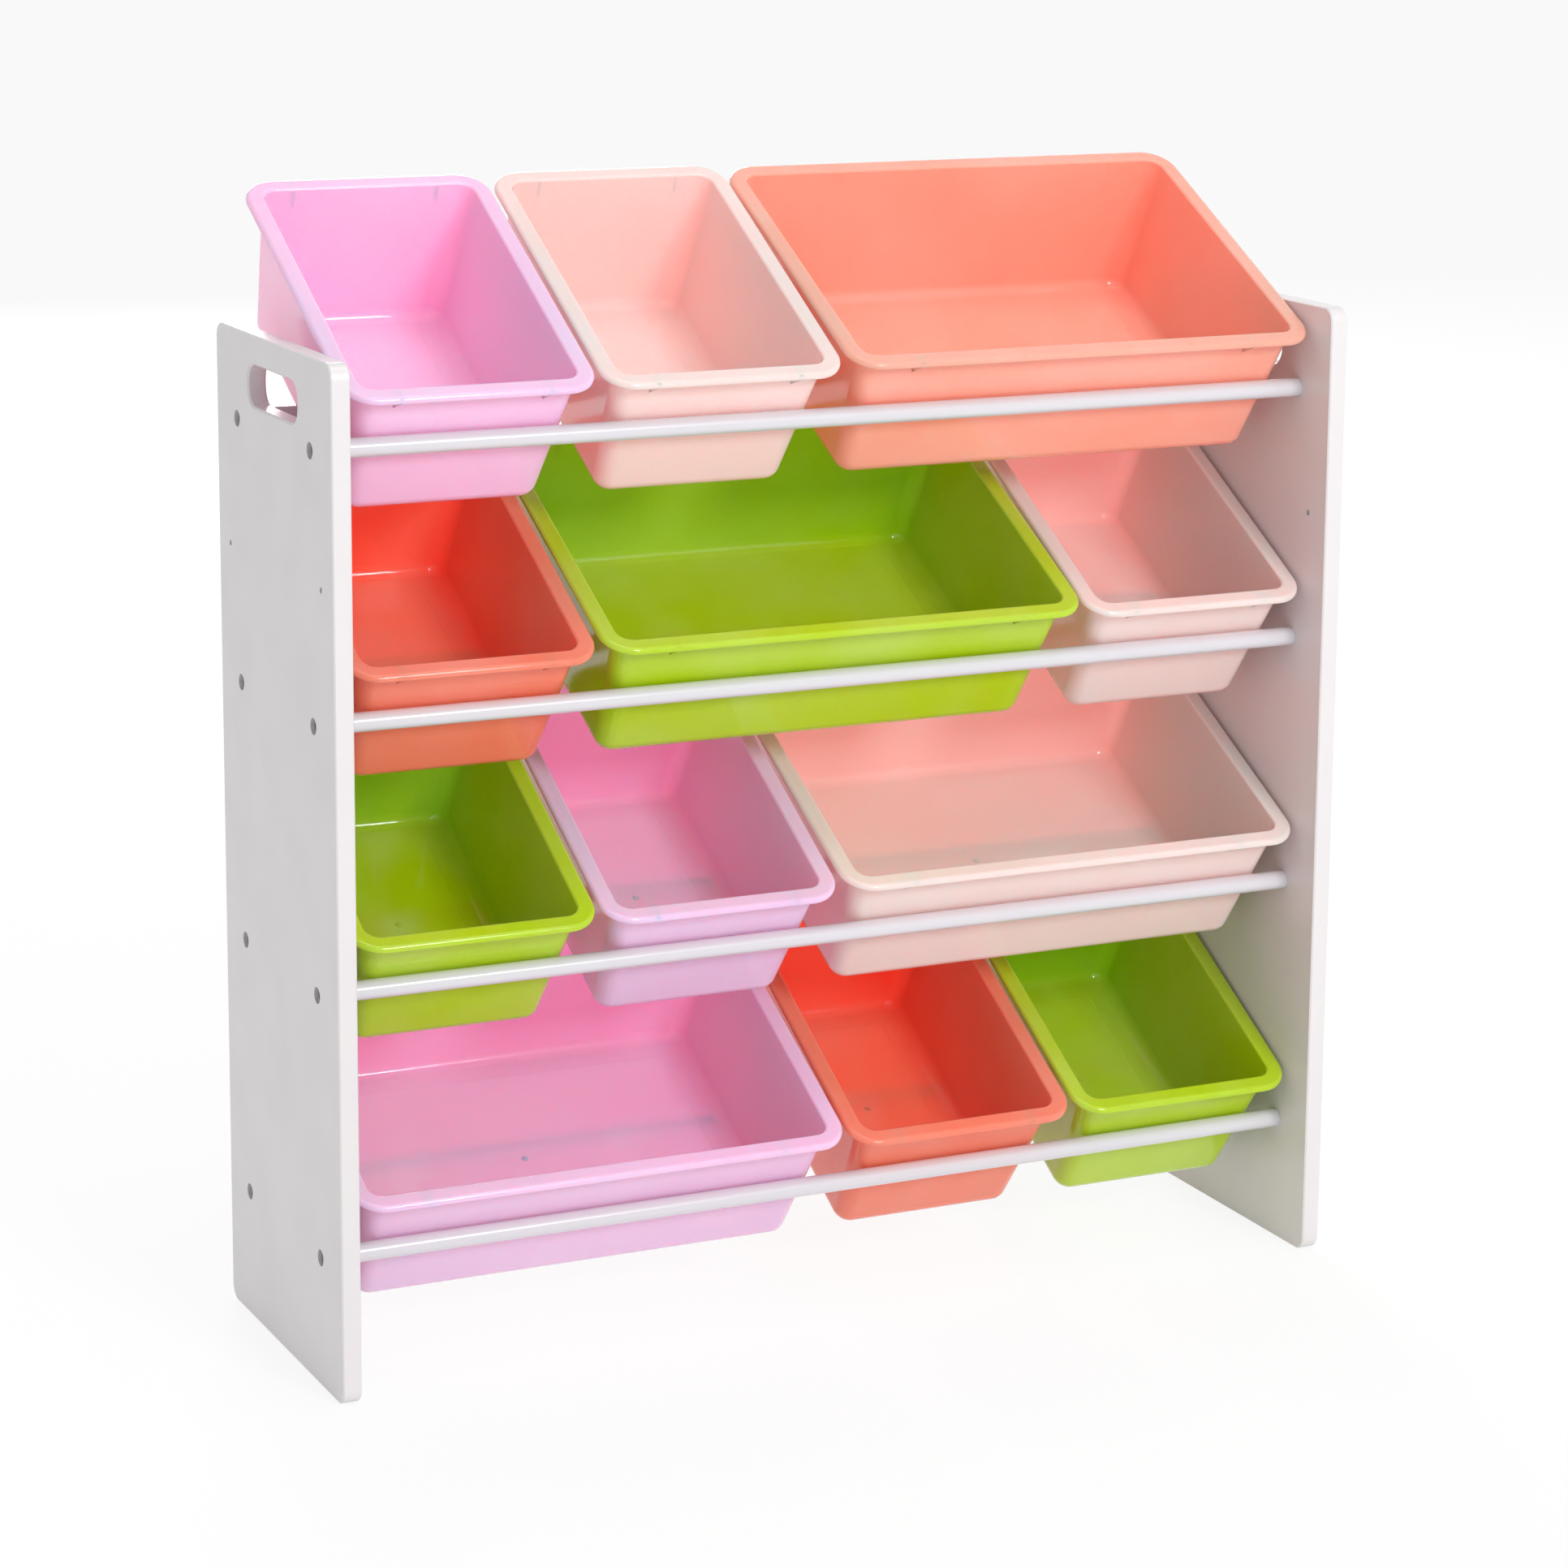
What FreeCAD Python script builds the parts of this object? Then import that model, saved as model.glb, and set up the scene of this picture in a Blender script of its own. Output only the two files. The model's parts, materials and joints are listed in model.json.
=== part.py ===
import FreeCAD, Part
import math
import os
import Sketcher

# Toy storage organizer: two side panels, four rows of front and rear rods, and twelve bins that
# hang tilted between the rods. Frame: origin on the floor below the middle of the bounding box,
# +X to the right, +Y to the rear, +Z up. The open front faces -Y. Millimetres and degrees.

SIZES = {
    # Side panels
    "panel_thickness": 15.0,
    "panel_above_rods": 69.3,
    "panel_corner_radius": 12.0,
    "panel_edge_bevel": 1.0,
    # Hand hole near the top of each panel
    "handle_length": 114.0,
    "handle_height": 32.0,
    "handle_corner_radius": 14.0,
    "handle_below_top": 39.0,
    "handle_edge_bevel": 1.5,
    # Bores through each panel for an anti-tip strap
    "strap_bore": 5.0,
    "strap_inset": 27.0,
    "strap_below_rod": 100.0,
    # Rods
    "rod_diameter": 15.0,
    "rod_wall": 1.0,
    "rod_inset": 48.0,
    "rod_spacing": 168.0,
    "rod_lowest": 102.7,
    "row_pitch": 206.0,
    "socket_depth": 4.5,
    "socket_clearance": 0.15,
    "rod_end_clearance": 0.1,
    # Screws, and the plugs in the rods that they bite into
    "screw_recess_diameter": 13.0,
    "screw_recess_depth": 6.0,
    "screw_head_diameter": 11.6,
    "screw_head_height": 2.5,
    "screw_drive_width": 4.0,
    "screw_drive_depth": 1.5,
    "screw_shank_diameter": 5.0,
    "screw_bite": 19.0,
    "screw_clearance": 0.1,
    "plug_length": 24.0,
    "plug_clearance": 0.08,
    # Bins: overall sizes, and how they lie between the panels and on the rods
    "small_width": 200.5,
    "large_width": 412.5,
    "bin_length": 283.5,
    "bin_height": 122.5,
    "small_tilt": 29.0,
    "large_tilt": 27.4,
    "bin_gap": 3.5,
    "left_gap": 5.0,
    "right_gap": 2.5,
    "seat_clearance": 0.3,
    # Bins: walls, rim and floor
    "draft": 5.0,
    "bin_wall": 2.0,
    "bin_floor": 2.4,
    "tub_radius": 12.0,
    "rim_width": 14.0,
    "rim_height": 5.0,
    "rim_skin": 2.0,
    "rim_corner_radius": 26.0,
    "rim_bevel": 2.4,
    "mouth_bevel": 1.0,
    "floor_step": 0.8,
    "floor_step_inset": 24.0,
    # Bins: gussets under the rim at the front and back
    "small_gusset_spacing": 117.5,
    "large_gusset_spacing": 296.6,
    "gusset_thickness": 2.4,
    "gusset_drop": 13.0,
}

# Bins from left to right, the top row first: the kind of bin and the name of its node.
ROWS = [
    [("small", "bin_row1_lilac"), ("small", "bin_row1_blush"), ("large", "bin_row1_coral")],
    [("small", "bin_row2_coral"), ("large", "bin_row2_green"), ("small", "bin_row2_blush")],
    [("small", "bin_row3_green"), ("small", "bin_row3_lilac"), ("large", "bin_row3_blush")],
    [("large", "bin_row4_lilac"), ("small", "bin_row4_coral"), ("small", "bin_row4_green")],
]
ROW_COUNT = len(ROWS)

doc = FreeCAD.newDocument("toy_storage_organizer")
sheet = doc.addObject("Spreadsheet::Sheet", "Sizes")
for row_number, (alias, value) in enumerate(SIZES.items(), start=1):
    sheet.set("A%d" % row_number, alias)
    sheet.set("B%d" % row_number, str(value))
    sheet.setAlias("B%d" % row_number, alias)
doc.recompute()


class Length:
    """A size that knows its number and the expression that ties it to the sheet."""

    def __init__(self, number, text):
        self.number = number
        self.text = text

    @staticmethod
    def of(value):
        return value if isinstance(value, Length) else Length(float(value), repr(float(value)))

    def __add__(self, other):
        other = Length.of(other)
        return Length(self.number + other.number, "(%s + %s)" % (self.text, other.text))

    def __sub__(self, other):
        other = Length.of(other)
        return Length(self.number - other.number, "(%s - %s)" % (self.text, other.text))

    def __mul__(self, other):
        other = Length.of(other)
        return Length(self.number * other.number, "(%s * %s)" % (self.text, other.text))

    def __truediv__(self, other):
        other = Length.of(other)
        return Length(self.number / other.number, "(%s / %s)" % (self.text, other.text))

    def __neg__(self):
        return Length(-self.number, "(-1 * %s)" % self.text)


def size(alias):
    """A driving dimension of the sheet."""
    return Length(float(sheet.get(alias)), "<<Sizes>>." + alias)


def tangent(angle):
    return Length(math.tan(math.radians(angle.number)), "tan(%s)" % angle.text)


def vector(x, y, z=0.0):
    return FreeCAD.Vector(x, y, z)


# Sizes that follow from the driving ones
panel_height = size("rod_lowest") + size("row_pitch") * (ROW_COUNT - 1) + size("panel_above_rods")
panel_depth = size("rod_spacing") + size("rod_inset") * 2
bins_across = size("small_width") * 2 + size("large_width") + size("bin_gap") * 2
inner_width = bins_across + size("left_gap") + size("right_gap")
overall_width = inner_width + size("panel_thickness") * 2
rod_radius = size("rod_diameter") / 2
rod_front = -size("rod_spacing") / 2
rod_rear = size("rod_spacing") / 2
socket_inset = size("panel_thickness") - size("socket_depth")
web_thickness = socket_inset - size("screw_recess_depth")
rod_end_inset = socket_inset + size("rod_end_clearance")
rod_length = overall_width - rod_end_inset * 2
flange = size("rim_width") - size("bin_wall")


# ---- sketches and features ---------------------------------------------------------------

def new_body(label):
    body = doc.addObject("PartDesign::Body", label)
    body.Label = label
    return body


def origin_plane(body, role):
    return next(item for item in body.Origin.OriginFeatures if item.Role == role)


def new_sketch(body, name, role, along=None, up=None):
    """A sketch on an origin plane, moved along the plane's normal and up in the plane."""
    sketch = body.newObject("Sketcher::SketchObject", name)
    sketch.AttachmentSupport = (origin_plane(body, role), [""])
    sketch.MapMode = "FlatFace"
    if along:
        sketch.setExpression(".AttachmentOffset.Base.z", along.text)
    if up:
        sketch.setExpression(".AttachmentOffset.Base.y", up.text)
    return sketch


def bind(sketch, kind, places, length):
    """Add a dimension to a sketch and tie it to the sheet."""
    index = sketch.addConstraint(Sketcher.Constraint(kind, *places, length.number))
    sketch.setExpression("Constraints[%d]" % index, length.text)


def add_rounded_rectangle(sketch, width, depth, radius):
    """A rounded rectangle about the sketch's origin."""
    r = radius.number
    x = width.number / 2 - r
    y = depth.number / 2 - r
    centres = [vector(x, y), vector(-x, y), vector(-x, -y), vector(x, -y)]
    arcs = []
    for quarter, centre in enumerate(centres):
        start = quarter * math.pi / 2
        circle = Part.Circle(centre, vector(0, 0, 1), r)
        arcs.append(sketch.addGeometry(Part.ArcOfCircle(circle, start, start + math.pi / 2), False))
    lines = []
    for quarter, centre in enumerate(centres):
        turn = (quarter + 1) * math.pi / 2
        reach = vector(r * math.cos(turn), r * math.sin(turn))
        line = Part.LineSegment(centre + reach, centres[(quarter + 1) % 4] + reach)
        lines.append(sketch.addGeometry(line, False))
    for quarter in range(4):
        following = (quarter + 1) % 4
        sketch.addConstraint(Sketcher.Constraint("Tangent", arcs[quarter], 2, lines[quarter], 1))
        sketch.addConstraint(Sketcher.Constraint("Tangent", lines[quarter], 2, arcs[following], 1))
        direction = "Horizontal" if quarter % 2 == 0 else "Vertical"
        sketch.addConstraint(Sketcher.Constraint(direction, lines[quarter]))
    for other in arcs[1:]:
        sketch.addConstraint(Sketcher.Constraint("Equal", arcs[0], other))
    sketch.addConstraint(Sketcher.Constraint("Symmetric", arcs[0], 3, arcs[2], 3, -1, 1))
    bind(sketch, "Radius", [arcs[0]], radius)
    bind(sketch, "DistanceX", [lines[1], 1, lines[3], 1], width)
    bind(sketch, "DistanceY", [lines[2], 1, lines[0], 1], depth)


def add_rectangle(sketch, width, depth):
    """A rectangle about the sketch's origin."""
    x = width / 2
    y = depth / 2
    add_polygon(sketch, [(x, y), (-x, y), (-x, -y), (x, -y)])


def add_circle(sketch, x, y, diameter):
    circle = Part.Circle(vector(x.number, y.number), vector(0, 0, 1), diameter.number / 2)
    index = sketch.addGeometry(circle, False)
    bind(sketch, "Diameter", [index], diameter)
    bind(sketch, "DistanceX", [-1, 1, index, 3], x)
    bind(sketch, "DistanceY", [-1, 1, index, 3], y)


def add_polygon(sketch, corners):
    """A closed outline whose corners are (x, y) pairs of lengths."""
    points = [vector(x.number, y.number) for x, y in corners]
    lines = []
    for place, point in enumerate(points):
        line = Part.LineSegment(point, points[(place + 1) % len(points)])
        lines.append(sketch.addGeometry(line, False))
    for place, line in enumerate(lines):
        following = lines[(place + 1) % len(lines)]
        sketch.addConstraint(Sketcher.Constraint("Coincident", line, 2, following, 1))
    for line, (x, y) in zip(lines, corners):
        bind(sketch, "DistanceX", [-1, 1, line, 1], x)
        bind(sketch, "DistanceY", [-1, 1, line, 1], y)


def pad(body, name, sketch, length, centred=False, against_normal=False):
    feature = body.newObject("PartDesign::Pad", name)
    feature.Profile = sketch
    feature.Midplane = centred
    feature.Reversed = against_normal
    feature.setExpression("Length", length.text)
    return feature


def pocket(body, name, sketch, depth, along_normal=False):
    """A cut against the sketch's normal, or along it."""
    feature = body.newObject("PartDesign::Pocket", name)
    feature.Profile = sketch
    feature.Reversed = along_normal
    feature.setExpression("Length", depth.text)
    return feature


def pocket_through(body, name, sketch):
    feature = body.newObject("PartDesign::Pocket", name)
    feature.Profile = sketch
    feature.Type = "ThroughAll"
    feature.Midplane = True
    return feature


def slope_faces(body, name, base, angle, test):
    """Draft the faces of base for which test(face) holds, about the XY plane."""
    doc.recompute()
    faces = ["Face%d" % (place + 1) for place, face in enumerate(base.Shape.Faces) if test(face)]
    feature = body.newObject("PartDesign::Draft", name)
    feature.Base = (base, faces)
    feature.NeutralPlane = (origin_plane(body, "XY_Plane"), [""])
    feature.setExpression("Angle", angle.text)
    body.Tip = feature
    return feature


def dress_edges(body, name, kind, base, test):
    """A PartDesign feature of a kind, Fillet or Chamfer, on the edges of base that pass test."""
    doc.recompute()
    edges = ["Edge%d" % (place + 1) for place, edge in enumerate(base.Shape.Edges) if test(edge)]
    if not edges:
        raise ValueError("no edges for " + name)
    feature = body.newObject("PartDesign::" + kind, name)
    feature.Base = (base, edges)
    body.Tip = feature
    return feature


def round_edges(body, name, base, radius, test):
    feature = dress_edges(body, name, "Fillet", base, test)
    feature.setExpression("Radius", radius.text)
    return feature


def bevel_edges(body, name, base, width, test):
    feature = dress_edges(body, name, "Chamfer", base, test)
    feature.setExpression("Size", width.text)
    return feature


TOUCH = 1e-4


def flat_at(edge, axis, level):
    """True if an edge lies in the plane where one of its coordinates (x, y or z) is level."""
    box = edge.BoundBox
    low = getattr(box, axis.upper() + "Min")
    high = getattr(box, axis.upper() + "Max")
    return abs(low - level) < TOUCH and abs(high - level) < TOUCH


# ---- side panels ---------------------------------------------------------------------------

def build_panel(label, side):
    """A side panel with its outer face at local x = 0. side is -1 for left and 1 for right."""
    body = new_body(label)
    outline = new_sketch(body, label + "_outline", "YZ_Plane", up=panel_height / 2)
    add_rounded_rectangle(outline, panel_depth, panel_height, size("panel_corner_radius"))
    pad(body, label + "_board", outline, size("panel_thickness"))

    handle_level = panel_height - size("handle_below_top")
    handle = new_sketch(body, label + "_handle", "YZ_Plane", up=handle_level)
    add_rounded_rectangle(handle, size("handle_length"), size("handle_height"),
                          size("handle_corner_radius"))
    pocket_through(body, label + "_hand_hole", handle)

    recess_sketch = new_sketch(body, label + "_recess_circles", "YZ_Plane")
    bore_sketch = new_sketch(body, label + "_bore_circles", "YZ_Plane")
    socket_sketch = new_sketch(body, label + "_socket_circles", "YZ_Plane",
                               along=size("panel_thickness"))
    for y in (rod_front, rod_rear):
        add_circle(recess_sketch, y, size("rod_lowest"), size("screw_recess_diameter"))
        add_circle(bore_sketch, y, size("rod_lowest"),
                   size("screw_shank_diameter") + size("screw_clearance") * 2)
        add_circle(socket_sketch, y, size("rod_lowest"),
                   size("rod_diameter") + size("socket_clearance") * 2)
    doc.recompute()
    cuts = [
        pocket(body, label + "_recess", recess_sketch, size("screw_recess_depth"), True),
        pocket_through(body, label + "_bore", bore_sketch),
        pocket(body, label + "_socket", socket_sketch, size("socket_depth")),
    ]
    rows = body.newObject("PartDesign::LinearPattern", label + "_rows")
    rows.Originals = cuts
    rows.Direction = (recess_sketch, ["V_Axis"])
    rows.setExpression("Length", (size("row_pitch") * (ROW_COUNT - 1)).text)
    rows.Occurrences = ROW_COUNT
    body.Tip = rows

    strap_level = panel_height - size("panel_above_rods") - size("strap_below_rod")
    strap_reach = panel_depth / 2 - size("strap_inset")
    straps = new_sketch(body, label + "_strap_circles", "YZ_Plane")
    for y in (-strap_reach, strap_reach):
        add_circle(straps, y, strap_level, size("strap_bore"))
    drilled = pocket_through(body, label + "_strap_bores", straps)

    faces = (0.0, size("panel_thickness").number)
    half_depth = panel_depth.number / 2
    handle_top = handle_level.number + size("handle_height").number / 2
    handle_base = handle_top - size("handle_height").number

    def on_face(edge):
        return any(flat_at(edge, "x", face) for face in faces)

    def on_outline(edge):
        box = edge.BoundBox
        outermost = [abs(box.YMin) - half_depth, abs(box.YMax) - half_depth,
                     box.ZMin, box.ZMax - panel_height.number]
        return on_face(edge) and any(abs(gap) < TOUCH for gap in outermost)

    def on_handle(edge):
        box = edge.BoundBox
        return on_face(edge) and box.ZMin > handle_base - TOUCH and box.ZMax < handle_top + TOUCH

    eased = bevel_edges(body, label + "_edge_bevel", drilled, size("panel_edge_bevel"), on_outline)
    bevel_edges(body, label + "_handle_bevel", eased, size("handle_edge_bevel"), on_handle)
    turn = 0 if side < 0 else 180
    body.Placement = FreeCAD.Placement(vector(side * overall_width.number / 2, 0),
                                       FreeCAD.Rotation(vector(0, 0, 1), turn))
    return body


# ---- rods, plugs and screws ------------------------------------------------------------------

ALONG_X = FreeCAD.Rotation(vector(0, 1, 0), 90)


def cylinder(name, radius, length, start=None):
    """A cylinder about local z, from start upwards."""
    solid = doc.addObject("Part::Cylinder", name)
    solid.setExpression("Radius", radius.text)
    solid.setExpression("Height", length.text)
    if start:
        solid.setExpression(".Placement.Base.z", start.text)
    return solid


def difference(name, base, tool):
    solid = doc.addObject("Part::Cut", name)
    solid.Base = base
    solid.Tool = tool
    solid.Label = name
    return solid


def row_level(row):
    """Height of the rods' axes. Row 0 is the top one."""
    return (size("rod_lowest") + size("row_pitch") * (ROW_COUNT - 1 - row)).number


def build_rod(label, y, row):
    """A steel tube that spans both panels."""
    outside = cylinder(label + "_outside", rod_radius, rod_length)
    inside = cylinder(label + "_inside", rod_radius - size("rod_wall"), rod_length)
    rod = difference(label, outside, inside)
    start = vector(-rod_length.number / 2, y.number, row_level(row))
    rod.Placement = FreeCAD.Placement(start, ALONG_X)
    return rod


def build_plug():
    """The plug in a rod's end, about local z with its outer end at z = 0."""
    plug_radius = rod_radius - size("rod_wall") - size("plug_clearance")
    bore_radius = size("screw_shank_diameter") / 2 + size("screw_clearance")
    return difference("plug_model", cylinder("plug_outside", plug_radius, size("plug_length")),
                      cylinder("plug_bore", bore_radius, size("plug_length")))


def build_screw():
    """A screw about local z, with its head's face at z = 0 and its shank up."""
    head = cylinder("screw_head", size("screw_head_diameter") / 2, size("screw_head_height"))
    shank_length = web_thickness + size("rod_end_clearance") + size("screw_bite")
    shank = cylinder("screw_shank", size("screw_shank_diameter") / 2, shank_length,
                     size("screw_head_height"))
    whole = doc.addObject("Part::Fuse", "screw_whole")
    whole.Base = head
    whole.Tool = shank
    drive = doc.addObject("Part::Prism", "screw_drive")
    drive.Polygon = 6
    drive.setExpression("Circumradius", (size("screw_drive_width") / 2).text)
    drive.setExpression("Height", size("screw_drive_depth").text)
    return difference("screw_model", whole, drive)


def build_group(label, model, side, inset):
    """One copy of model for each rod's end at one panel. Its z = 0 end is inset from outside."""
    turn = ALONG_X if side < 0 else FreeCAD.Rotation(vector(0, 1, 0), -90)
    x = side * (overall_width.number / 2 - inset.number)
    copies = []
    for row in range(ROW_COUNT):
        for y in (rod_front, rod_rear):
            copy = model.Shape.copy()
            copy.Placement = FreeCAD.Placement(vector(x, y.number, row_level(row)), turn)
            copies.append(copy)
    group = doc.addObject("Part::Feature", label)
    group.Label = label
    group.Shape = Part.makeCompound(copies)
    return group


# ---- bins ------------------------------------------------------------------------------------

def seat_of(kind, row):
    """Where the middle of a tilted bin's rim lies.

    The front wall leans on the front rod and the floor rests on the rear rod, each with the seat
    clearance. Both conditions are planes at a given distance from a rod's axis, so the place
    is the solution of two linear equations in y and z.
    """
    tilt = math.radians(size(kind + "_tilt").number)
    draft = math.radians(size("draft").number)
    stand_off = rod_radius.number + size("seat_clearance").number
    wall_normal = (-math.cos(tilt + draft), -math.sin(tilt + draft))
    floor_normal = (math.sin(tilt), -math.cos(tilt))
    # Distances of the untilted wall and floor planes from the rim's middle, along their normals
    wall_reach = (size("bin_length") / 2 - flange).number * math.cos(draft)
    floor_reach = size("bin_height").number
    level = row_level(row)
    wall_side = (wall_normal[0] * rod_front.number + wall_normal[1] * level
                 - wall_reach - stand_off)
    floor_side = (floor_normal[0] * rod_rear.number + floor_normal[1] * level
                  - floor_reach - stand_off)
    determinant = wall_normal[0] * floor_normal[1] - wall_normal[1] * floor_normal[0]
    y = (wall_side * floor_normal[1] - wall_normal[1] * floor_side) / determinant
    z = (wall_normal[0] * floor_side - floor_normal[0] * wall_side) / determinant
    return y, z


def build_bin(label, kind, x, row):
    """A moulded bin. Its local origin is the middle of the rim's top, before it is tilted."""
    width = size(kind + "_width")
    length = size("bin_length")
    floor_base = -size("bin_height")
    floor_top = floor_base + size("bin_floor")
    tub_width = width - flange * 2
    tub_length = length - flange * 2
    mouth_width = width - size("rim_width") * 2
    mouth_length = length - size("rim_width") * 2
    foot_width = tub_width - tangent(size("draft")) * size("bin_height") * 2
    foot_length = tub_length - tangent(size("draft")) * size("bin_height") * 2
    body = new_body(label)

    def sketch(name, level=None):
        return new_sketch(body, "%s_%s" % (label, name), "XY_Plane", along=level)

    def is_wall(shape):
        return shape.BoundBox.ZLength > size("bin_height").number / 2

    def inside_mouth(shape):
        box = shape.BoundBox
        return (max(box.XMax, -box.XMin) < mouth_width.number / 2 + TOUCH
                and max(box.YMax, -box.YMin) < mouth_length.number / 2 + TOUCH)

    def is_inner_wall(shape):
        return is_wall(shape) and inside_mouth(shape)

    def is_outer_wall(shape):
        return is_wall(shape) and not inside_mouth(shape)

    # The rim is a flange with a lip turned down all round, over a straight tub
    block_sketch = sketch("block_outline")
    add_rectangle(block_sketch, tub_width, tub_length)
    pad(body, label + "_block", block_sketch, size("bin_height"), against_normal=True)
    flange_sketch = sketch("flange_outline", -size("rim_skin"))
    add_rounded_rectangle(flange_sketch, width, length, size("rim_corner_radius"))
    pad(body, label + "_flange", flange_sketch, size("rim_skin"))
    lip_sketch = sketch("lip_outline", -size("rim_height"))
    add_rounded_rectangle(lip_sketch, width, length, size("rim_corner_radius"))
    add_rounded_rectangle(lip_sketch, width - size("bin_wall") * 2, length - size("bin_wall") * 2,
                          size("rim_corner_radius") - size("bin_wall"))
    pad(body, label + "_lip", lip_sketch, size("rim_height"))
    mouth_sketch = sketch("mouth_outline")
    add_rectangle(mouth_sketch, mouth_width, mouth_length)
    mouth = pocket(body, label + "_mouth", mouth_sketch, size("bin_height") - size("bin_floor"))

    # The tub tapers to the floor, inside and outside, and its corners and feet are rounded alike
    hollow = slope_faces(body, label + "_inner_taper", mouth, size("draft"), is_inner_wall)
    tapered = slope_faces(body, label + "_outer_taper", hollow, -size("draft"), is_outer_wall)
    inner = round_edges(body, label + "_inner_round", tapered, size("tub_radius") - size("bin_wall"),
                        lambda edge: is_inner_wall(edge) or flat_at(edge, "z", floor_top.number))
    outer = round_edges(body, label + "_outer_round", inner, size("tub_radius"),
                        lambda edge: is_outer_wall(edge) or flat_at(edge, "z", floor_base.number))
    rim = bevel_edges(body, label + "_rim_bevel", outer, size("rim_bevel"),
                      lambda edge: flat_at(edge, "z", 0.0) and not inside_mouth(edge))
    bevel_edges(body, label + "_mouth_bevel", rim, size("mouth_bevel"),
                lambda edge: flat_at(edge, "z", 0.0) and inside_mouth(edge))

    # The floor is raised a little in its middle
    step_width = foot_width - size("floor_step_inset") * 2
    step_length = foot_length - size("floor_step_inset") * 2
    below = sketch("step_below", floor_base)
    add_rectangle(below, step_width, step_length)
    pocket(body, label + "_step_recess", below, size("floor_step"), True)
    above = sketch("step_above", floor_top)
    add_rectangle(above, step_width, step_length)
    pad(body, label + "_step_rise", above, size("floor_step"))

    # Two gussets brace the flange at each end. They run down to the wall from the lip's edge
    wall_middle = length / 2 - flange - size("bin_wall") / 2
    lip_middle = length / 2 - size("bin_wall") / 2
    top = -size("rim_skin") / 2
    foot_of_gusset = -size("rim_height") - size("gusset_drop")
    wall_at_foot = wall_middle + tangent(size("draft")) * foot_of_gusset
    gusset = new_sketch(body, label + "_gusset_outline", "YZ_Plane",
                        along=size(kind + "_gusset_spacing") / 2)
    for end in (-1.0, 1.0):
        add_polygon(gusset, [(wall_middle * end, top), (lip_middle * end, top),
                             (lip_middle * end, -size("rim_height")),
                             (wall_at_foot * end, foot_of_gusset)])
    doc.recompute()
    web = pad(body, label + "_gusset", gusset, size("gusset_thickness"), True)
    mirrored = body.newObject("PartDesign::Mirrored", label + "_gusset_pair")
    mirrored.Originals = [web]
    mirrored.MirrorPlane = (origin_plane(body, "YZ_Plane"), [""])
    body.Tip = mirrored
    y, z = seat_of(kind, row)
    tilt = FreeCAD.Rotation(vector(1, 0, 0), size(kind + "_tilt").number)
    body.Placement = FreeCAD.Placement(vector(x, y, z), tilt)
    return body


def build_bins():
    """All rows of bins, each row filled from left to right."""
    bins = []
    for row, row_of_bins in enumerate(ROWS):
        left = -(inner_width / 2).number + size("left_gap").number
        for kind, label in row_of_bins:
            width = size(kind + "_width").number
            bins.append(build_bin(label, kind, left + width / 2, row))
            left += width + size("bin_gap").number
    return bins


# ---- assembly ----------------------------------------------------------------------------------

parts = [build_panel("left_panel", -1), build_panel("right_panel", 1)]
for row in range(ROW_COUNT):
    parts.append(build_rod("front_rod_%d" % (row + 1), rod_front, row))
    parts.append(build_rod("rear_rod_%d" % (row + 1), rod_rear, row))
plug = build_plug()
screw = build_screw()
doc.recompute()
screw_inset = size("screw_recess_depth") - size("screw_head_height")
for name, side in (("left", -1), ("right", 1)):
    parts.append(build_group("rod_plugs_" + name, plug, side, rod_end_inset))
    parts.append(build_group("screws_" + name, screw, side, screw_inset))
parts.extend(build_bins())
doc.recompute()

# Move the whole so that the origin is below the middle of its bounding box
extent = FreeCAD.BoundBox()
for part in parts:
    extent.add(part.Shape.optimalBoundingBox())
for part in parts:
    part.Placement = FreeCAD.Placement(-vector(extent.Center.x, extent.Center.y, extent.ZMin),
                                       FreeCAD.Rotation()).multiply(part.Placement)
doc.recompute()

for item in doc.Objects:
    if "Invalid" in item.State or "Error" in item.State:
        raise ValueError("%s failed: %s" % (item.Label, item.State))
for part in parts:
    if part.Shape.isNull() or not part.Shape.isValid():
        raise ValueError("bad shape: " + part.Label)

print("moved by", [round(-value, 4) for value in (extent.Center.x, extent.Center.y, extent.ZMin)])
os.makedirs("parts", exist_ok=True)
for part in parts:
    part.Shape.exportStep("parts/%s.step" % part.Label)
    print("%-16s solids %d, volume %.0f mm3" % (part.Label, len(part.Shape.Solids), part.Shape.Volume))
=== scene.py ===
import bpy
import json
import math
from mathutils import Matrix, Vector


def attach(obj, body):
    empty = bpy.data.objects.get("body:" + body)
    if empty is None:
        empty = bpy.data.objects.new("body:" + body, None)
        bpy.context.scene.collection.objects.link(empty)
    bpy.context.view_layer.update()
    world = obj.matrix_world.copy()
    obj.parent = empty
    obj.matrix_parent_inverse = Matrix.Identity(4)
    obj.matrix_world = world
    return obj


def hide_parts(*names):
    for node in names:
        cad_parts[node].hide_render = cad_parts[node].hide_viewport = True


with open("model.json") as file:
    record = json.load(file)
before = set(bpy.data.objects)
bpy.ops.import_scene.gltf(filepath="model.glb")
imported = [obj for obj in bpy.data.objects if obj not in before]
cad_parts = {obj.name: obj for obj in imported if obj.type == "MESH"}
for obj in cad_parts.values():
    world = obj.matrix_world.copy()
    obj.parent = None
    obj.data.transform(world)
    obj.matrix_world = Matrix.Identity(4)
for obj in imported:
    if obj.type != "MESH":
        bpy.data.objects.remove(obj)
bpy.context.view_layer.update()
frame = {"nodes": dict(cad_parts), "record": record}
NODES = frame["nodes"]
SLOTS = {part["node"]: part["material_slot"] for part in frame["record"]["subparts"]}


# ---- camera ----------------------------------------------------------------------------------

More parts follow.
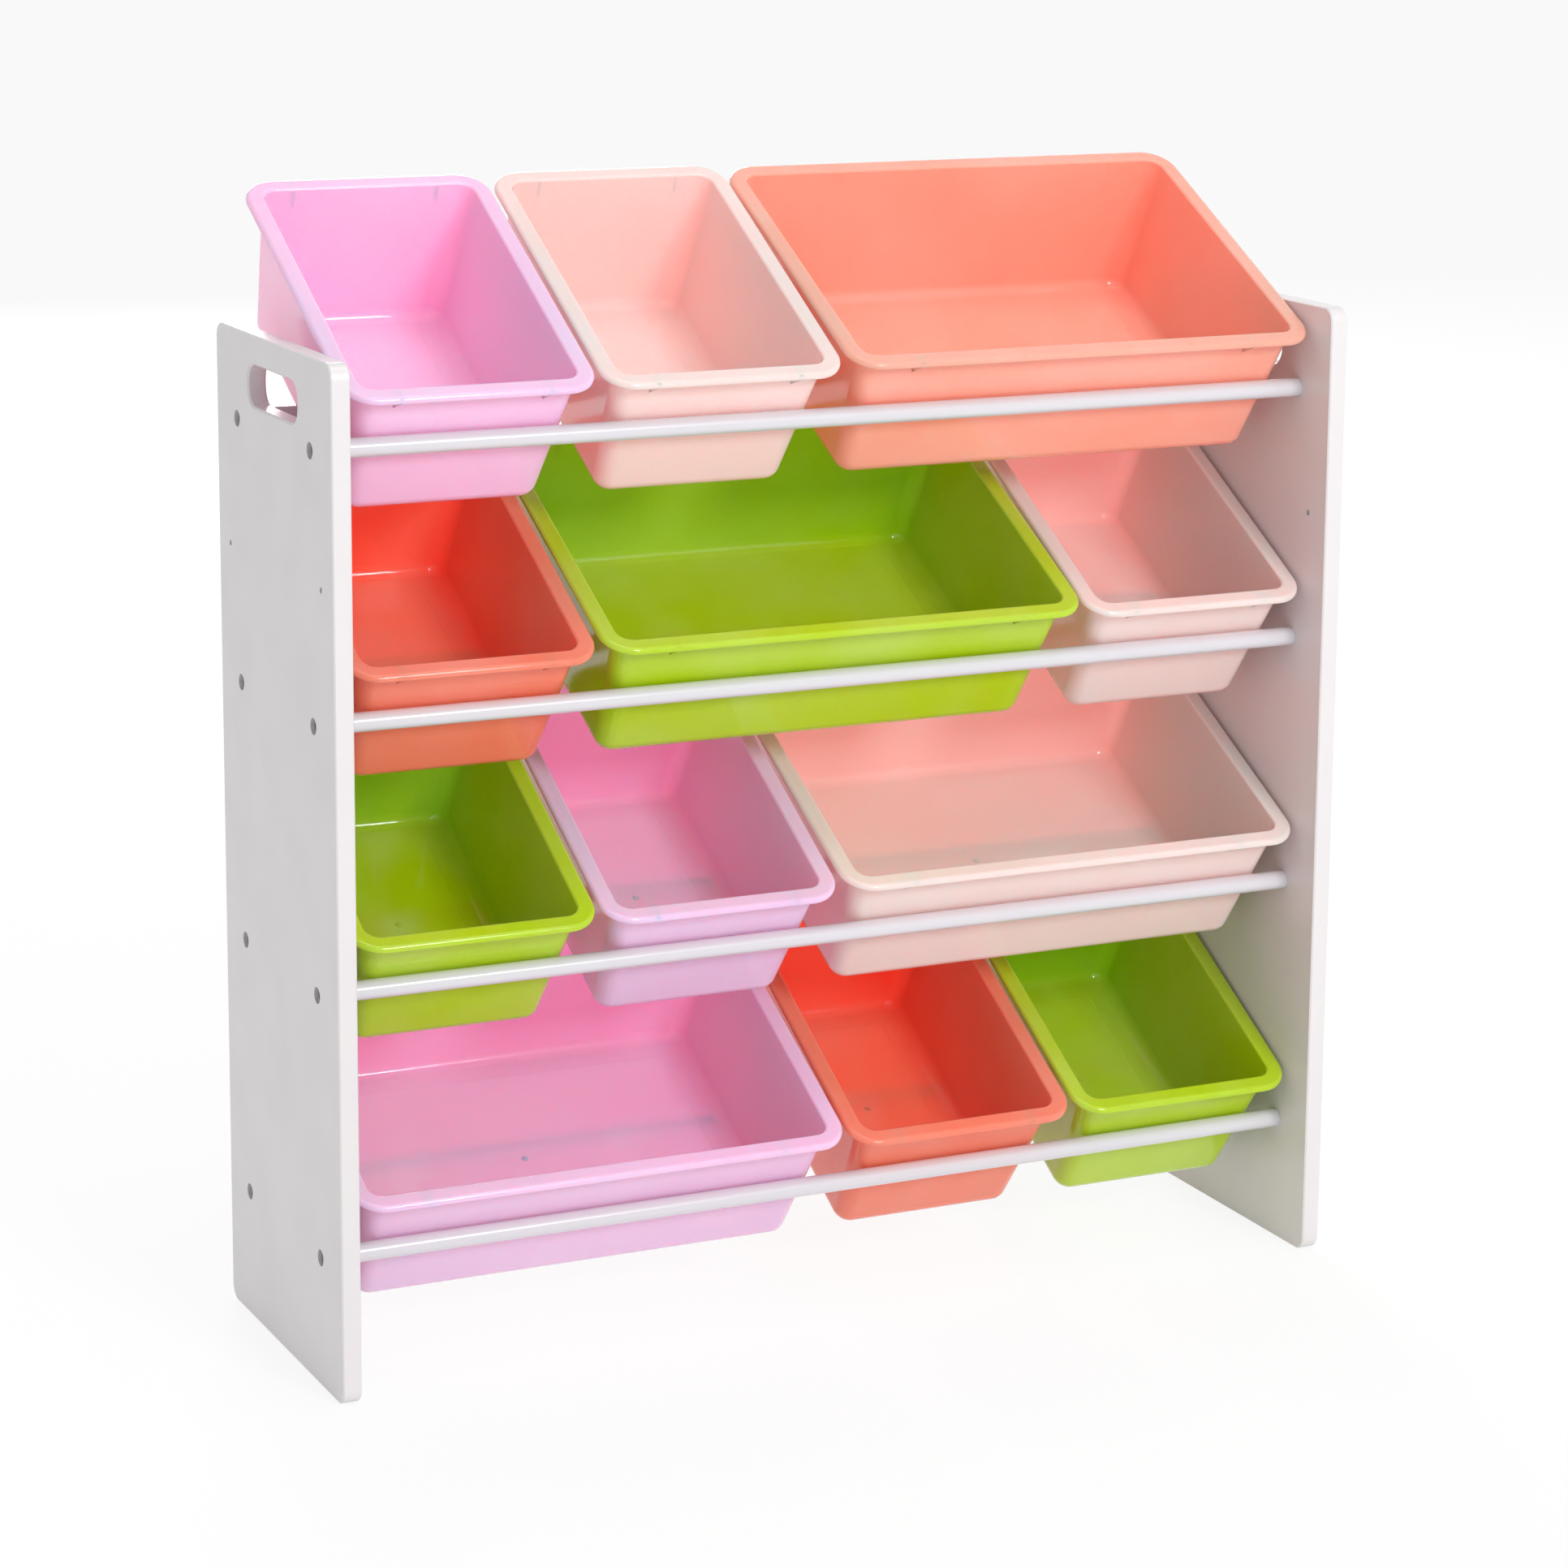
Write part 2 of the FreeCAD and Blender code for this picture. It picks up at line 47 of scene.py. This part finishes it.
# The camera stands to the left in front of the open side and looks a little down. Its focal
# length is measured in pixels of an image of this width, and its shift in image widths.
IMAGE_PIXELS = 1932
FOCAL_PIXELS = 5310
SENSOR_WIDTH = 36.0
CAMERA_PLACE = Vector((-1.444, -3.053, 1.224))
CAMERA_YAW = math.radians(25.36)
CAMERA_PITCH = math.radians(11.10)
CAMERA_ROLL = math.radians(0.44)
CAMERA_SHIFT = -0.12


def add_camera():
    data = bpy.data.cameras.new("camera")
    data.sensor_width = SENSOR_WIDTH
    data.lens = FOCAL_PIXELS / IMAGE_PIXELS * SENSOR_WIDTH
    data.shift_y = CAMERA_SHIFT
    camera = bpy.data.objects.new("camera", data)
    yaw = Matrix.Rotation(-CAMERA_YAW, 4, "Z")
    pitch = Matrix.Rotation(math.pi / 2 - CAMERA_PITCH, 4, "X")
    roll = Matrix.Rotation(CAMERA_ROLL, 4, "Z")
    camera.matrix_world = Matrix.Translation(CAMERA_PLACE) @ yaw @ pitch @ roll
    bpy.context.scene.collection.objects.link(camera)
    bpy.context.scene.camera = camera


# ---- shader building -------------------------------------------------------------------------

def linear(red, green, blue):
    """A colour given in 0 to 255 display values, as the linear colour that a socket takes."""
    def channel(value):
        value = value / 255
        return value / 12.92 if value <= 0.04045 else ((value + 0.055) / 1.055) ** 2.4
    return (channel(red), channel(green), channel(blue), 1.0)


def grey(level):
    """A linear grey from 0, black, to 1, white."""
    return (level, level, level, 1.0)


class Nodes:
    """The emptied node tree of a material or a world, with short ways to add and join nodes."""

    def __init__(self, owner):
        owner.use_nodes = True
        self.tree = owner.node_tree
        self.tree.nodes.clear()

    def node(self, kind, **settings):
        node = self.tree.nodes.new(kind)
        for name, value in settings.items():
            setattr(node, name, value)
        return node

    def join(self, source, target):
        self.tree.links.new(source, target)

    def seen(self):
        """1 for what the camera and gloss see, and 0 for the rays that only carry light."""
        rays = self.node("ShaderNodeLightPath")
        larger = self.node("ShaderNodeMath", operation="MAXIMUM")
        self.join(rays.outputs["Is Camera Ray"], larger.inputs[0])
        self.join(rays.outputs["Is Glossy Ray"], larger.inputs[1])
        return larger.outputs["Value"]

    def mix(self, share, first, second, target):
        """Join two shaders to target, with share as the part that second has."""
        mix = self.node("ShaderNodeMixShader")
        for source, socket in zip((share, first, second), mix.inputs):
            self.join(source, socket)
        self.join(mix.outputs["Shader"], target)


class Shader(Nodes):
    """A new material with one surface node, and short ways to set that node."""

    # A mix node has sockets for each type of data. These are the places of those for colours.
    FIRST_COLOUR = 6
    SECOND_COLOUR = 7
    MIXED_COLOUR = 2

    def __init__(self, name):
        self.material = bpy.data.materials.new(name)
        super().__init__(self.material)
        self.surface = self.node("ShaderNodeBsdfPrincipled")
        self.output = self.node("ShaderNodeOutputMaterial")
        self.join(self.surface.outputs["BSDF"], self.output.inputs["Surface"])

    def noise(self, scale, detail=2.0, stretch=(1.0, 1.0, 1.0)):
        """Noise over the object, with about scale features to the metre."""
        place = self.node("ShaderNodeTexCoord").outputs["Object"]
        mapping = self.node("ShaderNodeMapping")
        mapping.inputs["Scale"].default_value = stretch
        self.join(place, mapping.inputs["Vector"])
        noise = self.node("ShaderNodeTexNoise")
        noise.inputs["Scale"].default_value = scale
        noise.inputs["Detail"].default_value = detail
        self.join(mapping.outputs["Vector"], noise.inputs["Vector"])
        return noise.outputs["Fac"]

    def ramp(self, source, low, high, start=0.35, end=0.65):
        """source from start to end, mapped from low to high."""
        ramp = self.node("ShaderNodeMapRange", clamp=True)
        ramp.inputs["From Min"].default_value = start
        ramp.inputs["From Max"].default_value = end
        ramp.inputs["To Min"].default_value = low
        ramp.inputs["To Max"].default_value = high
        self.join(source, ramp.inputs["Value"])
        return ramp.outputs["Result"]

    def blend(self, factor, first, second):
        """A colour between two, the first at factor 0 and the second at 1."""
        mix = self.node("ShaderNodeMix", data_type="RGBA")
        self.join(factor, mix.inputs["Factor"])
        mix.inputs[self.FIRST_COLOUR].default_value = first
        mix.inputs[self.SECOND_COLOUR].default_value = second
        return mix.outputs[self.MIXED_COLOUR]

    def bump(self, height, strength, distance):
        """A normal for small bumps, with distance in metres."""
        bump = self.node("ShaderNodeBump")
        bump.inputs["Strength"].default_value = strength
        bump.inputs["Distance"].default_value = distance
        self.join(height, bump.inputs["Height"])
        return bump.outputs["Normal"]

    def set(self, **values):
        """Set each named socket of the surface to a number or colour, or join a socket to it."""
        for name, value in values.items():
            socket = self.surface.inputs[name.replace("_", " ").title().replace("Ior", "IOR")]
            if isinstance(value, bpy.types.NodeSocket):
                self.join(value, socket)
            else:
                socket.default_value = value


# ---- materials -------------------------------------------------------------------------------

def panel_paint():
    """Satin white paint with a faint roller texture."""
    shader = Shader("panel_paint")
    mottle = shader.noise(scale=18.0, detail=3.0)
    roller = shader.noise(scale=900.0)
    shader.set(base_color=shader.blend(mottle, linear(220, 216, 216), linear(215, 211, 213)),
               roughness=shader.ramp(mottle, low=0.30, high=0.38),
               normal=shader.bump(roller, strength=0.06, distance=0.0003),
               coat_weight=0.15, coat_roughness=0.25)
    return shader.material


def rod_enamel():
    """Glossy white enamel on steel tube, with a faint flow along it."""
    shader = Shader("rod_enamel")
    mottle = shader.noise(scale=40.0, stretch=(0.2, 1.0, 1.0))
    flow = shader.noise(scale=500.0, stretch=(0.3, 1.0, 1.0))
    shader.set(base_color=shader.blend(mottle, linear(213, 212, 217), linear(207, 206, 212)),
               roughness=shader.ramp(mottle, low=0.18, high=0.26),
               normal=shader.bump(flow, strength=0.04, distance=0.0002),
               coat_weight=0.4, coat_roughness=0.12)
    return shader.material


def screw_steel():
    """Steel coloured near black: painted shade of the deep recesses that the screw heads sit in.
    """
    shader = Shader("screw_steel")
    grain = shader.noise(scale=1500.0, detail=3.0)
    # The near-black colour is painted shade of the screw recesses, not the steel's own colour.
    shader.set(base_color=shader.blend(grain, linear(16, 16, 18), linear(8, 8, 9)),
               roughness=shader.ramp(grain, low=0.32, high=0.44),
               normal=shader.bump(grain, strength=0.12, distance=0.0001),
               specular_ior_level=0.25)
    return shader.material


def plug_plastic():
    """Matt white plastic."""
    shader = Shader("plug_plastic")
    grain = shader.noise(scale=700.0)
    shader.set(base_color=shader.blend(grain, linear(232, 232, 233), linear(222, 222, 224)),
               roughness=shader.ramp(grain, low=0.45, high=0.55))
    return shader.material


# GLOW_DEPTH is how far light goes inside the bins' plastic, in metres, and each glow is the share
# of it that red, green and blue go. The palest clouds are CLOUD_SHARE of the way from white to
# the bin's colour.
GLOW_DEPTH = 0.01
RED_GLOW = (1.0, 0.3, 0.3)
EVEN_GLOW = (0.3, 0.4, 0.2)
CLOUD_SHARE = 0.94
BIN_COLOURS = {
    "lilac": (linear(248, 192, 222), RED_GLOW),
    "blush": (linear(253, 208, 204), RED_GLOW),
    "light_coral": (linear(255, 166, 146), RED_GLOW),
    "coral": (linear(255, 126, 98), RED_GLOW),
    "green": (linear(177, 203, 10), EVEN_GLOW),
}


def bin_plastic(name, colour, glow):
    """Glossy moulded plastic, faintly cloudy, that light enters and leaves again."""
    shader = Shader(name)
    cloud = shader.ramp(shader.noise(scale=9.0), low=0.0, high=1.0)
    flow = shader.noise(scale=30.0, detail=3.0, stretch=(1.0, 1.0, 0.3))
    grain = shader.noise(scale=1100.0)
    paler = tuple(1 - (1 - value) * CLOUD_SHARE for value in colour[:3]) + (1.0,)
    shader.set(base_color=shader.blend(cloud, colour, paler),
               roughness=shader.ramp(flow, low=0.09, high=0.14),
               normal=shader.bump(grain, strength=0.03, distance=0.0002), ior=1.5,
               subsurface_weight=1.0, subsurface_radius=glow, subsurface_scale=GLOW_DEPTH)
    return shader.material


def make_materials():
    """A material for each slot of the record."""
    materials = {"panel_paint": panel_paint(), "rod_steel": rod_enamel(),
                 "screw_steel": screw_steel(), "plug_plastic": plug_plastic()}
    for name, (colour, glow) in BIN_COLOURS.items():
        materials["bin_" + name] = bin_plastic("bin_" + name, colour, glow)
    return materials


def dress_nodes(materials):
    """Give each node its material, by the slot that the record names for it."""
    for name, slot in SLOTS.items():
        mesh = NODES[name].data
        for place in range(len(mesh.materials)):
            mesh.materials[place] = materials[slot]


# ---- bins ------------------------------------------------------------------------------------

# A bin's width, length and height come from its node. These are the other sizes, in metres,
# apart from the slope, which is how far the walls lean outwards for each metre upwards.
WALL = 0.002
FLOOR = 0.0024
SLOPE = math.tan(math.radians(5.0))
RIM_WIDTH = 0.014
RIM_SKIN = 0.002
RIM_HEIGHT = 0.005
RIM_CORNER = 0.026
RIM_ROUND = 0.0036
MOUTH_ROUND = 0.0022
FOOT_ROUND = 0.012
EDGE_ROUND = 0.0008
STEP_INSET = 0.024
STEP_HEIGHT = 0.0008
SHARPEST_CORNER = 0.003
GATE_RADIUS = 0.0024
GATE_TOP_RADIUS = 0.8 * GATE_RADIUS
GATE_HEIGHT = 0.0006
GUSSET_WIDTH = 0.0028
GUSSET_DROP = 0.011
GUSSET_POINT = 0.0145
GUSSET_SPACING = 0.1175
WIDE_BIN = 0.3
WIDE_GUSSET_SPACING = 0.2966

# How many steps a quarter turn, a rounded bend and a circle have, and how strongly a large face
# sets the normals at its edges, up to 100.
CORNER_STEPS = 10
BEND_STEPS = 6
CIRCLE_STEPS = 20
LARGE_FACE_WEIGHT = 100


def rounded_line(corners):
    """Points along a line through corners, each (x, y, radius), with its inner corners rounded."""
    points = [Vector(corners[0][:2])]
    for before, (x, y, radius), after in zip(corners, corners[1:], corners[2:]):
        corner = Vector((x, y))
        back = (Vector(before[:2]) - corner).normalized()
        ahead = (Vector(after[:2]) - corner).normalized()
        half = back.angle(ahead) / 2
        middle = corner + (back + ahead).normalized() * radius / math.sin(half)
        start = corner + back * radius / math.tan(half) - middle
        end = corner + ahead * radius / math.tan(half) - middle
        for step in range(BEND_STEPS + 1):
            points.append(middle + start.lerp(end, step / BEND_STEPS).normalized() * radius)
    points.append(Vector(corners[-1][:2]))
    return points


def rounded_rectangle(half_width, half_length, radius, height):
    """A ring of points, anticlockwise from above."""
    ring = []
    for quarter, (side, end) in enumerate(((1, 1), (-1, 1), (-1, -1), (1, -1))):
        x = side * (half_width - radius)
        y = end * (half_length - radius)
        for step in range(CORNER_STEPS + 1):
            turn = (quarter + step / CORNER_STEPS) * math.pi / 2
            ring.append((x + radius * math.cos(turn), y + radius * math.sin(turn), height))
    return ring


def circle(radius, height):
    """A ring of points about the upright axis, anticlockwise from above."""
    turns = [2 * math.pi * step / CIRCLE_STEPS for step in range(CIRCLE_STEPS)]
    return [(radius * math.cos(turn), radius * math.sin(turn), height) for turn in turns]


class Skin:
    """Points and faces that grow by closed skins over rings of points."""

    def __init__(self):
        self.points = []
        self.faces = []

    def loft(self, rings):
        """Join rings of as many points each, and close the first and the last."""
        first = len(self.points)
        count = len(rings[0])
        for ring in rings:
            self.points += ring
        for place in range(len(rings) - 1):
            low = first + place * count
            for corner in range(count):
                following = (corner + 1) % count
                self.faces.append((low + corner, low + following,
                                   low + count + following, low + count + corner))
        last = first + (len(rings) - 1) * count
        self.faces.append(tuple(range(first + count - 1, first - 1, -1)))
        self.faces.append(tuple(range(last, last + count)))

    def build(self, name, material):
        """A smooth object whose large flat faces still look flat."""
        mesh = bpy.data.meshes.new(name)
        mesh.from_pydata(self.points, [], self.faces)
        mesh.shade_smooth()
        mesh.materials.append(material)
        piece = bpy.data.objects.new(name, mesh)
        bpy.context.scene.collection.objects.link(piece)
        normals = piece.modifiers.new("flat_faces_stay_flat", "WEIGHTED_NORMAL")
        normals.weight = LARGE_FACE_WEIGHT
        return piece


def bin_profile(height):
    """The section of a bin's wall, from under the floor, round the rim, to the floor's top.

    Each point is an inset from the rim's edge and a level, which is 0 at the rim's top.
    """
    flange = RIM_WIDTH - WALL
    step = flange + height * SLOPE + STEP_INSET
    floor = -height + FLOOR
    return rounded_line([
        (step + STEP_HEIGHT, -height + STEP_HEIGHT, 0),
        (step, -height, STEP_HEIGHT / 2),
        (flange + height * SLOPE, -height, FOOT_ROUND),
        (flange + RIM_SKIN * SLOPE, -RIM_SKIN, EDGE_ROUND),
        (WALL, -RIM_SKIN, EDGE_ROUND / 2),
        (WALL, -RIM_HEIGHT, EDGE_ROUND),
        (0, -RIM_HEIGHT, EDGE_ROUND),
        (0, 0, RIM_ROUND),
        (RIM_WIDTH, 0, MOUTH_ROUND),
        (RIM_WIDTH - floor * SLOPE, floor, FOOT_ROUND - WALL),
        (step, floor, STEP_HEIGHT / 2),
        (step + STEP_HEIGHT, floor + STEP_HEIGHT, 0)])


def bin_shell(width, length, height):
    """A bin's walls, floor and rim, upright and with the middle of the rim's top at the origin."""
    shell = Skin()
    shell.loft([rounded_rectangle(width / 2 - inset, length / 2 - inset,
                                  max(RIM_CORNER - inset - level * SLOPE, SHARPEST_CORNER), level)
                for inset, level in bin_profile(height)])
    return shell


def gusset_section(x, end, length, foot):
    """A gusset's outline at x, from the flange's underside to its foot on the wall."""
    wall = end * (length / 2 - RIM_WIDTH + WALL / 2)
    lip = end * (length / 2 - WALL / 2)
    wall_at_foot = wall - end * foot * SLOPE
    outline = [(x, wall, -RIM_SKIN / 2), (x, lip, -RIM_SKIN / 2), (x, lip, -RIM_HEIGHT),
               (x, wall_at_foot, -foot)]
    return outline if end > 0 else outline[::-1]


def bin_ribs(width, length, height):
    """The gate mark on a bin's floor and the four pointed gussets under its rim."""
    ribs = Skin()
    floor = -height + FLOOR + STEP_HEIGHT
    ribs.loft([circle(GATE_RADIUS, floor - GATE_HEIGHT), circle(GATE_RADIUS, floor),
               circle(GATE_TOP_RADIUS, floor + GATE_HEIGHT)])
    reach = (WIDE_GUSSET_SPACING if width > WIDE_BIN else GUSSET_SPACING) / 2
    for end in (-1, 1):
        for x in (-reach, reach):
            ribs.loft([gusset_section(x + side * GUSSET_WIDTH / 2, end, length,
                                      RIM_HEIGHT + (GUSSET_DROP if side else GUSSET_POINT))
                       for side in (-1, 0, 1)])
    return ribs


def box_of(node, turn):
    """The lowest and highest corners of a node's box, on axes that turn with it."""
    points = [turn.inverted() @ vertex.co for vertex in node.data.vertices]
    low = Vector([min(point[axis] for point in points) for axis in range(3)])
    high = Vector([max(point[axis] for point in points) for axis in range(3)])
    return low, high


def add_bin(node, joint, material):
    """A shell and its ribs, with the size and place of a bin's node and the tilt of its joint."""
    tilt = math.atan2(-joint["axis"][1], joint["axis"][2])
    turn = Matrix.Rotation(tilt, 4, "X")
    low, high = box_of(node, turn)
    middle = Vector(((low.x + high.x) / 2, (low.y + high.y) / 2, high.z))
    pieces = [bin_shell(*(high - low)).build("shell_" + node.name, material),
              bin_ribs(*(high - low)).build("ribs_" + node.name, material)]
    for piece in pieces:
        piece.data.transform(turn @ Matrix.Translation(middle))
    return pieces


def add_bins(materials):
    """Put a shell and ribs in place of each bin's node. Each joint of the record lifts one bin."""
    for joint in frame["record"]["behaviour"]["joints"]:
        name = joint["child"]
        for piece in add_bin(NODES[name], joint, materials[SLOTS[name]]):
            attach(piece, name)
            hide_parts(name)


# ---- stage -----------------------------------------------------------------------------------

# Sizes in metres, and power in watts. The floor glows by its share for the camera and for gloss.
FLOOR_REACH = 30.0
FLOOR_GLOW = 0.85
WORLD_LIGHT = 0.66
LAMP_TARGET = Vector((0, 0, 0.4))
LAMPS = {
    "key": {"place": Vector((1.0, -5.5, 2.8)), "size": (1.8, 1.4), "power": 180.0},
    "top": {"place": Vector((0.2, -0.6, 3.6)), "size": (1.6, 1.2), "power": 14.0},
    "back": {"place": Vector((1.2, 5.5, 2.4)), "size": (2.4, 1.8), "power": 170.0},
}


def floor_material():
    """Matt pale grey that the camera sees nearly white outside the object's shadow."""
    shader = Shader("floor")
    shader.set(base_color=shader.blend(shader.noise(scale=3.0), grey(0.92), grey(0.90)),
               roughness=0.9)
    share = shader.node("ShaderNodeMath", operation="MULTIPLY")
    shader.join(shader.seen(), share.inputs[0])
    share.inputs[1].default_value = FLOOR_GLOW
    glow = shader.node("ShaderNodeEmission")
    shader.mix(share.outputs["Value"], shader.surface.outputs["BSDF"],
               glow.outputs["Emission"], shader.output.inputs["Surface"])
    return shader.material


def add_floor():
    mesh = bpy.data.meshes.new("floor")
    corners = [(-FLOOR_REACH, -FLOOR_REACH, 0), (FLOOR_REACH, -FLOOR_REACH, 0),
               (FLOOR_REACH, FLOOR_REACH, 0), (-FLOOR_REACH, FLOOR_REACH, 0)]
    mesh.from_pydata(corners, [], [(0, 1, 2, 3)])
    mesh.materials.append(floor_material())
    floor = bpy.data.objects.new("floor", mesh)
    bpy.context.scene.collection.objects.link(floor)


def add_world():
    """Even light from all round, with a white background for what the camera and gloss see."""
    world = bpy.data.worlds.new("studio")
    sky = Nodes(world)
    light = sky.node("ShaderNodeBackground")
    light.inputs["Color"].default_value = grey(1.0)
    light.inputs["Strength"].default_value = WORLD_LIGHT
    white = sky.node("ShaderNodeBackground")
    white.inputs["Color"].default_value = grey(1.0)
    output = sky.node("ShaderNodeOutputWorld")
    sky.mix(sky.seen(), light.outputs["Background"], white.outputs["Background"],
            output.inputs["Surface"])
    bpy.context.scene.world = world


def add_lamps():
    """Soft rectangular lamps that all face the middle of the object."""
    for name, lamp in LAMPS.items():
        data = bpy.data.lights.new(name, "AREA")
        data.shape = "RECTANGLE"
        data.size, data.size_y = lamp["size"]
        data.energy = lamp["power"]
        light = bpy.data.objects.new(name, data)
        light.location = lamp["place"]
        direction = LAMP_TARGET - lamp["place"]
        light.rotation_euler = direction.to_track_quat("-Z", "Y").to_euler()
        bpy.context.scene.collection.objects.link(light)


# ---- scene -----------------------------------------------------------------------------------

bpy.context.scene.view_settings.view_transform = "Standard"
materials = make_materials()
dress_nodes(materials)
add_bins(materials)
add_camera()
add_floor()
add_world()
add_lamps()
